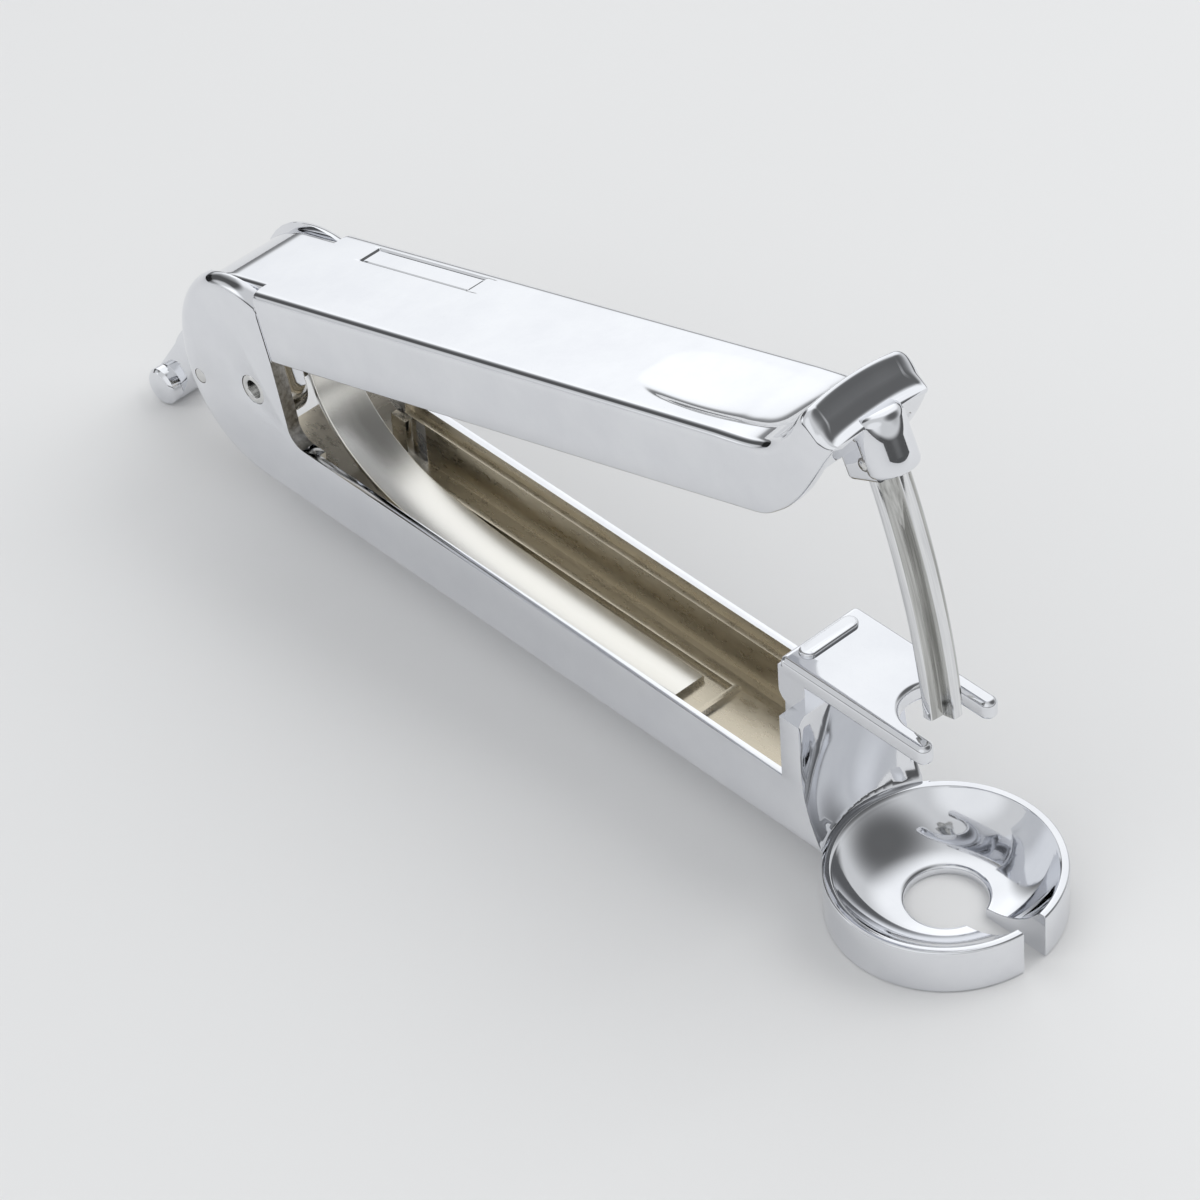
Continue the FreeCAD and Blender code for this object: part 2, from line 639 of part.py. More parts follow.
# Lock lever: hub on its pin, bent arm, cross peg and the catch for the heel spur
peg_z = peg_r
hub = cyl_y(lock_x, lock_z, lock_hub_r, -lug_outer_y, lug_outer_y)
arm_top_hub = (lock_x, lock_z + 2.6)
arm_top_mid = (lock_x - 8.7, lock_z + 0.5)
arm_top_bend = (lock_x - 14.7, lock_z - 6.5)
arm_top_peg = (peg_x - 2.6, peg_z + 1.05)
arm_low_peg = (peg_x + 2.5, peg_z - 1.25)
arm_low_bend = (lock_x - 11.1, lock_z - 8.8)
arm_low_mid = (lock_x - 6.9, lock_z - 4.3)
arm_low_hub = (lock_x, lock_z - 2.6)
arm_edges = [
    arc(arm_top_hub, arm_top_mid, arm_top_bend),
    line(arm_top_bend, arm_top_peg),
    line(arm_top_peg, arm_low_peg),
    line(arm_low_peg, arm_low_bend),
    arc(arm_low_bend, arm_low_mid, arm_low_hub),
    line(arm_low_hub, arm_top_hub),
]
arm = prism(arm_edges, -lock_half_w, lock_half_w)
peg = cyl_y(peg_x, peg_z, peg_r, -peg_half_len, peg_half_len)
peg = peg.makeChamfer(0.45, [e for e in peg.Edges if e.BoundBox.YLength < 0.01])
catch_low = catch_angle + catch_half_angle
catch_high = catch_angle - catch_half_angle
finger = poly_prism([(lock_x - lock_hub_r, lock_z), (lock_x - 1.2, lock_z),
                     on_arc(catch_neck_r, catch_angle + 9.0), on_arc(catch_neck_r, catch_low),
                     on_arc(catch_r + catch_chamfer, catch_low), on_arc(catch_r, catch_high),
                     on_arc(catch_back_r, catch_high), on_arc(catch_back_r + 0.2, catch_angle + 5.5)],
                    -lock_half_w, lock_half_w)
finger.rotate(V(lock_x, 0, lock_z), V(0, 1, 0), -lock_travel)
lock = hub.fuse([arm, peg, finger])
lock = lock.cut(cyl_y(lock_x, lock_z, lock_pin_r + running_gap, -past_y, past_y))
save(lock, "lock_lever")
lock_pin = cyl_y(lock_x, lock_z, lock_pin_r, -body_half_w, body_half_w)
save(lock_pin, "lock_pin")
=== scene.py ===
import json
import math
import bmesh
import bpy
from mathutils import Matrix, Vector

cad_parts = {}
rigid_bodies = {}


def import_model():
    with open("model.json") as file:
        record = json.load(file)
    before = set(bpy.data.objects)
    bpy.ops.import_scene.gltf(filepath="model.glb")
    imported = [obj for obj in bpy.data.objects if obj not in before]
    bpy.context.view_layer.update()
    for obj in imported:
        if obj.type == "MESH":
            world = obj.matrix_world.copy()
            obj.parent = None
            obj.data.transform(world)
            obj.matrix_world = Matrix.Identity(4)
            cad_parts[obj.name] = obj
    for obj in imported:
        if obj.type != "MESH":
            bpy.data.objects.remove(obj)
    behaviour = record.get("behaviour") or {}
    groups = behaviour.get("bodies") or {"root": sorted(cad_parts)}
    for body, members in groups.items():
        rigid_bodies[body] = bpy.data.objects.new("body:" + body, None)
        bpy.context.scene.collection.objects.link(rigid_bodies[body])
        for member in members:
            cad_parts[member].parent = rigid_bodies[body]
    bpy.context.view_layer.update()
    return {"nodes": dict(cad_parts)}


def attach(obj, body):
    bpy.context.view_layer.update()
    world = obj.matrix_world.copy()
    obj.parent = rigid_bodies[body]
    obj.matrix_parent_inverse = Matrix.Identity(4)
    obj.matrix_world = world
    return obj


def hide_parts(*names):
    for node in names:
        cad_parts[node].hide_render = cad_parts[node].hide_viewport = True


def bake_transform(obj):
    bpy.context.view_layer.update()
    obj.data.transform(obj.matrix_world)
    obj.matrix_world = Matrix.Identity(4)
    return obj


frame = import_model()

nodes = frame["nodes"]
mm = 0.001
hinge = Vector((-0.1237, 0, 0.0219))
openAngle = 17.4  # degrees between shut and open
openTurn = Matrix.Rotation(math.radians(-openAngle), 4, "Y")
print("stage: frame loaded")


# Materials

def newMaterial(name):
    mat = bpy.data.materials.new(name)
    mat.use_nodes = True
    tree = mat.node_tree
    return mat, tree, tree.nodes["Principled BSDF"]


def addNode(tree, kind, **inputs):
    node = tree.nodes.new(kind)
    for key, value in inputs.items():
        node.inputs[key.replace("_", " ")].default_value = value
    return node


def noiseField(tree, scale, detail=3.0, rough=0.5, stretch=(1, 1, 1)):
    coord = tree.nodes.new("ShaderNodeTexCoord")
    place = tree.nodes.new("ShaderNodeMapping")
    place.inputs["Scale"].default_value = stretch
    noise = addNode(tree, "ShaderNodeTexNoise", Scale=scale, Detail=detail, Roughness=rough)
    tree.links.new(coord.outputs["Object"], place.inputs["Vector"])
    tree.links.new(place.outputs["Vector"], noise.inputs["Vector"])
    return noise.outputs["Fac"]


def spread(tree, source, low, high, fromMin=0.35, fromMax=0.65):
    node = addNode(tree, "ShaderNodeMapRange")
    node.inputs["From Min"].default_value = fromMin
    node.inputs["From Max"].default_value = fromMax
    node.inputs["To Min"].default_value = low
    node.inputs["To Max"].default_value = high
    tree.links.new(source, node.inputs["Value"])
    return node.outputs["Result"]


def colourBetween(tree, source, dark, light, low=0.35, high=0.65):
    ramp = tree.nodes.new("ShaderNodeValToRGB")
    ramp.color_ramp.elements[0].position = low
    ramp.color_ramp.elements[1].position = high
    ramp.color_ramp.elements[0].color = (*dark, 1)
    ramp.color_ramp.elements[1].color = (*light, 1)
    tree.links.new(source, ramp.inputs["Fac"])
    return ramp.outputs["Color"]


def bumpFrom(tree, shader, source, strength, distance):
    bump = addNode(tree, "ShaderNodeBump", Strength=strength, Distance=distance)
    tree.links.new(source, bump.inputs["Height"])
    tree.links.new(bump.outputs["Normal"], shader.inputs["Normal"])


def metal(name, dark, light, roughLow, roughHigh, grain, bumpScale, bumpDepth, stretch=(1, 1, 1)):
    mat, tree, shader = newMaterial(name)
    shader.inputs["Metallic"].default_value = 1.0
    wear = noiseField(tree, grain, 4.0, 0.6, stretch)
    tree.links.new(colourBetween(tree, wear, dark, light), shader.inputs["Base Color"])
    tree.links.new(spread(tree, wear, roughLow, roughHigh), shader.inputs["Roughness"])
    bumpFrom(tree, shader, noiseField(tree, bumpScale, 2.0, 0.5, stretch), 1.0, bumpDepth)
    return mat


streakStretch = 0.03  # how slowly a streak changes along the rod


def drawnSteel(name, dark, light, rough, streaks, depth):  # streaks run on an arc about the hinge
    mat, tree, shader = newMaterial(name)
    shader.inputs["Metallic"].default_value = 1.0
    shader.inputs["Roughness"].default_value = rough
    coord = tree.nodes.new("ShaderNodeTexCoord")
    apart = tree.nodes.new("ShaderNodeVectorMath")
    apart.operation = "SUBTRACT"
    apart.inputs[1].default_value = hinge
    flat = tree.nodes.new("ShaderNodeVectorMath")
    flat.operation = "MULTIPLY"
    flat.inputs[1].default_value = (1, 0, 1)
    reach = tree.nodes.new("ShaderNodeVectorMath")
    reach.operation = "LENGTH"
    split = tree.nodes.new("ShaderNodeSeparateXYZ")
    place = tree.nodes.new("ShaderNodeCombineXYZ")
    slow = tree.nodes.new("ShaderNodeMath")
    slow.operation = "MULTIPLY"
    slow.inputs[1].default_value = streakStretch
    noise = addNode(tree, "ShaderNodeTexNoise", Scale=streaks, Detail=3.0, Roughness=0.6)
    tree.links.new(coord.outputs["Object"], apart.inputs[0])
    tree.links.new(apart.outputs[0], flat.inputs[0])
    tree.links.new(flat.outputs[0], reach.inputs[0])
    tree.links.new(coord.outputs["Object"], split.inputs[0])
    tree.links.new(reach.outputs["Value"], place.inputs["X"])
    tree.links.new(split.outputs["Y"], place.inputs["Y"])
    tree.links.new(split.outputs["Z"], slow.inputs[0])
    tree.links.new(slow.outputs[0], place.inputs["Z"])
    tree.links.new(place.outputs[0], noise.inputs["Vector"])
    tree.links.new(colourBetween(tree, noise.outputs["Fac"], dark, light), shader.inputs["Base Color"])
    bumpFrom(tree, shader, noise.outputs["Fac"], 1.0, depth)
    return mat


finish = {
    "rod": drawnSteel("drawnRod", (0.70, 0.705, 0.72), (0.84, 0.845, 0.85), 0.07, 3500, 0.000004),
    # the groove steel is darker than the rod: painted shade inside the V grooves
    "groove": drawnSteel("grooveShadeSteel", (0.36, 0.36, 0.345), (0.60, 0.60, 0.585), 0.12, 2600, 0.00001),
    "chrome": metal("polishedChrome", (0.80, 0.81, 0.84), (0.84, 0.85, 0.875), 0.03, 0.06, 120, 18, 0.00002),
    "channel": metal("castChannel", (0.60, 0.54, 0.43), (0.68, 0.62, 0.50), 0.24, 0.34, 700, 900, 0.000008,
                     (0.4, 1, 1)),
    "cast": metal("roughCast", (0.26, 0.25, 0.23), (0.44, 0.42, 0.39), 0.30, 0.45, 1800, 1800, 0.00006),
    "spring": metal("satinSpring", (0.88, 0.86, 0.80), (0.94, 0.92, 0.87), 0.20, 0.27, 90, 300, 0.000004,
                    (0.3, 2, 0.3)),
    "steel": metal("turnedSteel", (0.66, 0.66, 0.65), (0.78, 0.78, 0.77), 0.08, 0.15, 600, 900, 0.000004),
}


# Meshes from the frame, with their edges broken

def cleanCopy(node, name, planes=()):  # a CAD node, merged, and kept on the inner side of each plane
    mesh = nodes[node].data.copy()
    mesh.name = name
    work = bmesh.new()
    work.from_mesh(mesh)
    bmesh.ops.remove_doubles(work, verts=work.verts, dist=2e-7)
    bmesh.ops.dissolve_limit(work, angle_limit=math.radians(0.6), verts=work.verts, edges=work.edges,
                             delimit=set())
    for spot, way in planes:
        everything = list(work.verts) + list(work.edges) + list(work.faces)
        bmesh.ops.bisect_plane(work, geom=everything, plane_co=spot, plane_no=way, clear_outer=True)
        bmesh.ops.holes_fill(work, edges=[e for e in work.edges if e.is_boundary], sides=0)
    for face in work.faces:
        face.smooth = True
    work.to_mesh(mesh)
    work.free()
    piece = bpy.data.objects.new(name, mesh)
    bpy.context.scene.collection.objects.link(piece)
    return piece


def breakEdges(piece, width, segments=3, angle=28):
    bevel = piece.modifiers.new("brokenEdges", "BEVEL")
    bevel.width = width
    bevel.segments = segments
    bevel.limit_method = "ANGLE"
    bevel.angle_limit = math.radians(angle)
    bevel.use_clamp_overlap = True
    bevel.harden_normals = True
    bevel.miter_outer = "MITER_ARC"


def dress(piece, mat):
    piece.data.materials.clear()
    piece.data.materials.append(mat)


def paintFaces(piece, mat, test):  # gives mat to the faces whose middle (in mm) and direction pass the test
    piece.data.materials.append(mat)
    index = len(piece.data.materials) - 1
    for face in piece.data.polygons:
        if test(face.center / mm, face.normal):
            face.material_index = index


# Lock lever and pins

smallValues = {
    "lock_lever": ("lockLever", "chrome", "lock", "lock_chrome", 0.3, 3),
    "hinge_pin": ("hingePin", "steel", "base", "pin_steel", 0.25, 3),
    "lock_pin": ("lockPin", "steel", "base", "pin_steel", 0.2, 3),
}


def makeSmall(v):
    for node, (name, key, body, slot, width, segments) in v.items():
        piece = cleanCopy(node, name)
        dress(piece, finish[key])
        breakEdges(piece, width * mm, segments)
        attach(piece, body)
        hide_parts(node)
    print("stage: lock lever and pins")


makeSmall(smallValues)


# Helpers for lofted pieces

def smoothLine(knots):  # smooth height over length through the given knots
    def at(u):
        if u <= knots[0][0]:
            return knots[0][1]
        if u >= knots[-1][0]:
            return knots[-1][1]
        i = max(k for k in range(len(knots) - 1) if knots[k][0] <= u)
        (a, fa), (b, fb) = knots[i], knots[i + 1]
        slope = (fb - fa) / (b - a)
        before = slope if i == 0 else (fb - knots[i - 1][1]) / (b - knots[i - 1][0])
        after = slope if i + 2 >= len(knots) else (knots[i + 2][1] - fa) / (knots[i + 2][0] - a)
        t = (u - a) / (b - a)
        h = b - a
        return ((2 * t**3 - 3 * t**2 + 1) * fa + (t**3 - 2 * t**2 + t) * h * before
                + (3 * t**2 - 2 * t**3) * fb + (t**3 - t**2) * h * after)
    return at


def between(u, a, b):  # eased step from 0 at a to 1 at b
    t = min(1, max(0, (u - a) / (b - a)))
    return t * t * (3 - 2 * t)


def settle(work, mesh, sharpAngle):  # merged, faces outwards, smooth up to the sharp angle
    bmesh.ops.remove_doubles(work, verts=work.verts, dist=1e-7)
    bmesh.ops.recalc_face_normals(work, faces=work.faces)
    for face in work.faces:
        face.smooth = True
    work.to_mesh(mesh)
    work.free()
    mesh.set_sharp_from_angle(angle=math.radians(sharpAngle))


def loftRings(name, rings, mat, sharpAngle):
    work = bmesh.new()
    rows = [[work.verts.new(p) for p in ring] for ring in rings]
    count = len(rows[0])
    for a, b in zip(rows, rows[1:]):
        for i in range(count):
            j = (i + 1) % count
            work.faces.new((a[i], a[j], b[j], b[i]))
    work.faces.new(rows[0][::-1])
    work.faces.new(rows[-1])
    mesh = bpy.data.meshes.new(name)
    settle(work, mesh, sharpAngle)
    piece = bpy.data.objects.new(name, mesh)
    bpy.context.scene.collection.objects.link(piece)
    dress(piece, mat)
    return piece


def onLever(u, y, w):  # a point of the level lever, in mm from the hinge, swung to its open place
    return hinge + openTurn @ Vector((u * mm, y * mm, w * mm))


# Base casting: bright outside, as cast inside

cupValues = {
    "radius": 16.0, "height": 7.105, "rimWidth": 1.1, "rimRound": 0.35, "steps": 220,
    "seatRadius": 14.5, "seatZ": 6.6, "seatMiddle": (10.6, 3.2), "seatSteps": 25, "seatFootZ": 1.52,
    "outletRadius": 5.5, "outletLip": 0.35, "slotWidth": 3.9, "slotBreak": 0.25,
}


def cupProfile(v):
    r, h, q = v["radius"], v["height"], v["rimRound"]
    out = [(r - 0.4, 0.0), (r - 0.12, 0.1), (r, 0.4)]
    out += [(r, h * k / 6) for k in range(1, 5)]
    for k in range(7):  # round of the rim
        turn = math.pi / 2 * k / 6
        out.append((r - q + q * math.cos(turn), h - q + q * math.sin(turn)))
    inner = r - v["rimWidth"]
    out += [(inner + 0.08, h), (inner - 0.05, h - 0.06), (v["seatRadius"] + 0.08, v["seatZ"] + 0.08),
            (v["seatRadius"] - 0.1, v["seatZ"] - 0.12)]
    foot = (v["outletRadius"] + v["outletLip"], v["seatFootZ"])
    a, m, b = Vector((v["seatRadius"], v["seatZ"])), Vector(v["seatMiddle"]), Vector(foot)
    for k in range(1, v["seatSteps"]):  # hollow seat down to the outlet
        t = k / v["seatSteps"]
        p = a * (1 - t) * (1 - 2 * t) + m * 4 * t * (1 - t) + b * t * (2 * t - 1)
        out.append((p.x, p.y))
    out += [foot, (v["outletRadius"] + 0.1, 1.36), (v["outletRadius"], 1.1),
            (v["outletRadius"], 0.3), (v["outletRadius"] + 0.25, 0.0)]
    return out


def makeCup(v):
    profile = cupProfile(v)
    rings = []
    for k in range(v["steps"] + 1):
        ring = []
        for r, z in profile:
            start = math.asin(v["slotWidth"] / 2 / r)
            a = start + (math.tau - 2 * start) * k / v["steps"]
            ring.append(Vector((r * math.cos(a), r * math.sin(a), z)) * mm)
        rings.append(ring)
    piece = loftRings("cupRing", rings, finish["chrome"], 50)
    breakEdges(piece, v["slotBreak"] * mm, 3, 62)
    return piece


# Stripper plate: a slab with rolled edges on a square foot

plateValues = {"top": 34.0, "bottom": 31.2, "halfWidth": 7.05, "rear": -22.4, "cornerRadius": 1.0, "tip": 3.6,
               "notchRadius": 4.5, "notchX": -1.3, "roll": 0.9, "lowerRoll": 0.6, "rollSteps": 8,
               "footFront": -17.6, "footBottom": 26.9, "footCorner": 2.0, "footInset": 0.005, "footSink": 1.2}


def arcPoints(x, y, radius, start, end, steps):
    out = []
    for k in range(steps + 1):
        a = math.radians(start + (end - start) * k / steps)
        out.append(Vector((x + radius * math.cos(a), y + radius * math.sin(a))))
    return out


def plateOutline(v):
    half, notch = v["halfWidth"], v["notchRadius"]
    tip = (half - notch) / 2
    side = arcPoints(v["notchX"], 0, notch, 180, 90, 24)
    side += arcPoints(v["tip"] - tip, (half + notch) / 2, tip, -90, 90, 24)
    side += arcPoints(v["rear"] + v["cornerRadius"], half - v["cornerRadius"], v["cornerRadius"], 90, 180, 10)
    return side + [Vector((p.x, -p.y)) for p in side[:0:-1]]


def inset(outline, distance):
    out = []
    for i, p in enumerate(outline):
        before, after = outline[i - 1], outline[(i + 1) % len(outline)]
        a, b = (p - before).normalized(), (after - p).normalized()
        across = Vector((-a.y, a.x)) + Vector((-b.y, b.x))
        out.append(p + across.normalized() * distance)
    return out


def makePlate(v):
    outline = plateOutline(v)
    rings = []
    for edge, roll, way in ((v["bottom"], v["lowerRoll"], 1), (v["top"], v["roll"], -1)):
        turns = range(v["rollSteps"] + 1) if way > 0 else range(v["rollSteps"], -1, -1)
        for k in turns:
            a = math.pi / 2 * k / v["rollSteps"]
            height = edge + way * roll * (1 - math.cos(a))
            shape = inset(outline, roll * (1 - math.sin(a)))
            rings.append([Vector((q.x, q.y, height)) * mm for q in shape])
    slab = loftRings("stripperPlate", rings, finish["chrome"], 40)
    rear, side = v["rear"] + v["footInset"], v["halfWidth"] - v["footInset"]
    low, corner = v["footBottom"], v["footCorner"]
    profile = arcPoints(rear + corner, low + corner, corner, 180, 270, 12)
    under = v["top"] - v["footSink"]
    profile += [Vector((v["footFront"], low)), Vector((v["footFront"], under)), Vector((rear, under))]
    rings = [[Vector((q.x, y, q.y)) * mm for q in profile] for y in (-side, side)]
    foot = loftRings("stripperFoot", rings, finish["chrome"], 40)
    for piece in (slab, foot):
        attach(piece, "base")
        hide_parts("stripper_plate")
    print("stage: stripper plate")


makePlate(plateValues)


tenonValues = {"x": -20.2, "halfThick": 1.3, "halfLength": 4.9, "foot": 33.8, "crown": 34.5, "round": 0.35,
               "dimple": 3.25, "dimpleRadius": 0.95, "dimpleDepth": 0.3}


def makeTenon(v):  # peened head of the tenon that comes up through the plate
    straight = v["halfLength"] - v["halfThick"]
    half = 16  # steps round each end
    across = arcPoints(0, 0, 1, 0, 180, half) + arcPoints(0, 0, 1, 180, 360, half)
    rings = []
    for scale in (0.25, 0.5, 0.75):
        rings.append([v["halfThick"] * scale, v["crown"]])
    for k in range(7):
        a = math.pi / 2 * k / 6
        rings.append([v["halfThick"] - v["round"] * (1 - math.sin(a)),
                      v["crown"] - v["round"] * (1 - math.cos(a))])
    rings.append([v["halfThick"], v["foot"]])
    loops = []
    for reach, height in rings:
        loop = []
        for k, q in enumerate(across):
            end = straight if k <= half else -straight
            spot = Vector((q.x * reach, q.y * reach + end))
            deep = max(0, 1 - ((spot.y + v["dimple"]) ** 2 + spot.x ** 2) / v["dimpleRadius"] ** 2)
            loop.append(Vector((v["x"] + spot.x, spot.y, height - v["dimpleDepth"] * deep)) * mm)
        loops.append(loop)
    piece = loftRings("tenonHead", loops, finish["chrome"], 50)
    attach(piece, "base")
    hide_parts("base_casting")


makeTenon(tenonValues)


baseValues = {"edgeBreak": 0.22, "channelHalfWidth": 8.45, "rimZ": 16.3, "floorZ": 7.5, "wallX": -19.9,
              "cheekFrontX": -112.0, "castInnerY": 6.0, "cutX": -12.5, "cutRadius": 15.2, "cutDepth": 9.0,
              "cutZ": 2.8, "headCube": 14.0, "headSpot": (-20.7, 0, 40.9)}


def subtract(piece, cutter):
    tool = piece.modifiers.new("cut", "BOOLEAN")
    tool.object = cutter
    tool.operation = "DIFFERENCE"
    tool.solver = "EXACT"
    graph = bpy.context.evaluated_depsgraph_get()
    graph.update()
    mesh = bpy.data.meshes.new_from_object(piece.evaluated_get(graph))
    piece.modifiers.remove(tool)
    piece.data = mesh
    bpy.data.objects.remove(cutter)


def makeBase(v):
    piece = cleanCopy("base_casting", "baseCasting", [(Vector((v["cutX"] * mm, 0, 0)), Vector((1, 0, 0)))])
    bpy.ops.mesh.primitive_cylinder_add(vertices=180, radius=v["cutRadius"] * mm, depth=v["cutDepth"] * mm,
                                        location=(0, 0, v["cutZ"] * mm))  # the cup's own mesh goes here
    subtract(piece, bpy.context.object)
    bpy.ops.mesh.primitive_cube_add(size=v["headCube"] * mm, location=Vector(v["headSpot"]) * mm)
    subtract(piece, bpy.context.object)
    dress(piece, finish["chrome"])

    def inChannel(c, n):
        return (abs(c.y) < v["channelHalfWidth"] and v["floorZ"] < c.z < v["rimZ"] and c.x < v["wallX"]
                and abs(n.x) < 0.95)

    def asCast(c, n):
        front = n.x > 0.6 and c.z > v["rimZ"] + 1
        nearRim = v["rimZ"] - 2.2 < c.z < v["rimZ"] + 3
        corner = abs(n.y) < 0.85 and abs(c.y) > v["castInnerY"] and nearRim and n.z > 0
        return c.x < v["cheekFrontX"] and (front or corner)

    paintFaces(piece, finish["channel"], inChannel)
    paintFaces(piece, finish["cast"], asCast)
    breakEdges(piece, v["edgeBreak"] * mm, 3, 48)
    for part in (piece, makeCup(cupValues)):
        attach(part, "base")
        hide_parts("base_casting")
    print("stage: base casting and cup")


makeBase(baseValues)


# Lever casting

leverValues = {
    "halfWidth": 9.4, "tongueHalfWidth": 7.05, "innerHalfWidth": 7.6,
    "top": 16.4, "roof": 14.2,
    "shoulderU": 7.0, "edgeRadius": 1.4, "lipEdgeRadius": 2.3, "lipFall": 0.6,
    "dishCentre": 98.0, "dishHalfLength": 16.0, "dishHalfWidth": 6.4, "dishDepth": 1.35,
    "scoopStart": 121.7, "scoopEnd": 125.3, "scoopHalfWidth": 7.6, "scoopDepth": 0.55,
    "badgeU": (15.4, 38.6), "badgeY": (4.1, 7.4), "badgeDepth": 0.14,
    "badgeGroove": 0.3, "badgeGrooveHalf": 0.26,
    "coverEnd": 38.0, "coverRoof": 13.9, "coverRound": 0.7, "coverSteps": 44,
    "shoulderRound": 0.3, "roofStepU": 118, "roofStep": 0.2, "lipU": (109, 119),
    "softIn": (104, 107), "softOut": (117, 120.5), "softReach": 1.2,
    "shoulderStations": [0.5, 3.0, 6.0, 6.96, 7.0, 7.04, 7.1, 7.18, 7.3, 8.0, 12.0],
    "noseStations": [125.2, 125.4, 125.55, 125.7, 125.8, 125.88, 125.94, 125.98, 126.0],
    "heelPlanes": [((7.0, 5.6), (1, 0)), ((0, 14.2), (0, 1)),  # spot and direction, seen from the side
                   ((-4.56, 13.24), (-0.326, 0.946)), ((-8.03, 11.47), (-0.574, 0.819))],
    "topLine": [(0, 16.4), (50, 16.4), (103, 16.4),
                (107, 16.3), (110, 16.3), (112.3, 16.75), (114.5, 17.75), (116.5, 19.1), (118.3, 20.6),
                (119.8, 22.1), (120.8, 23.0), (121.6, 23.4), (122.3, 23.15), (122.9, 22.3), (123.5, 21.2),
                (124.2, 20.1), (124.9, 19.35), (125.5, 19.0), (125.85, 18.8), (126.0, 18.55)],
    "noseLine": [(7.0, 5.75), (107.5, 5.75), (109.8, 6.0), (112.5, 7.05), (115, 8.35), (117.8, 10.4),
                 (120.5, 12.9), (122.8, 15.3), (124.6, 17.2), (126.0, 18.5)],
    "noseWidth": [(117.0, 9.4), (120.0, 9.32), (122.0, 9.15), (123.5, 8.9), (124.6, 8.55), (125.4, 8.1),
                  (125.8, 7.7), (126.0, 7.3)],
}


def grooveSteps(v):  # where a groove's two edges, flanks and bottom lie
    return [v["badgeGrooveHalf"] * share for share in (-1, -0.5, 0, 0.5, 1)]


def leverStations(v):  # below 0 a station is an angle about the hinge, in degrees
    end, fine = v["coverEnd"], math.degrees(v["coverRound"] / v["top"])
    out = [-end + fine * (1 - math.cos(math.pi / 2 * k / 6)) for k in range(6)]
    out += [-(end - fine) * (1 - k / v["coverSteps"]) for k in range(v["coverSteps"] + 1)]
    out += v["shoulderStations"]
    for edge in v["badgeU"]:
        out += [edge + d for d in grooveSteps(v)]
    u = 14.0
    for stop, step in ((80.0, 3.0), (110.0, 0.5), (125.0, 0.2)):
        while u < stop:
            out.append(u)
            u += step
    return sorted(set(round(x, 3) for x in out + v["noseStations"]))


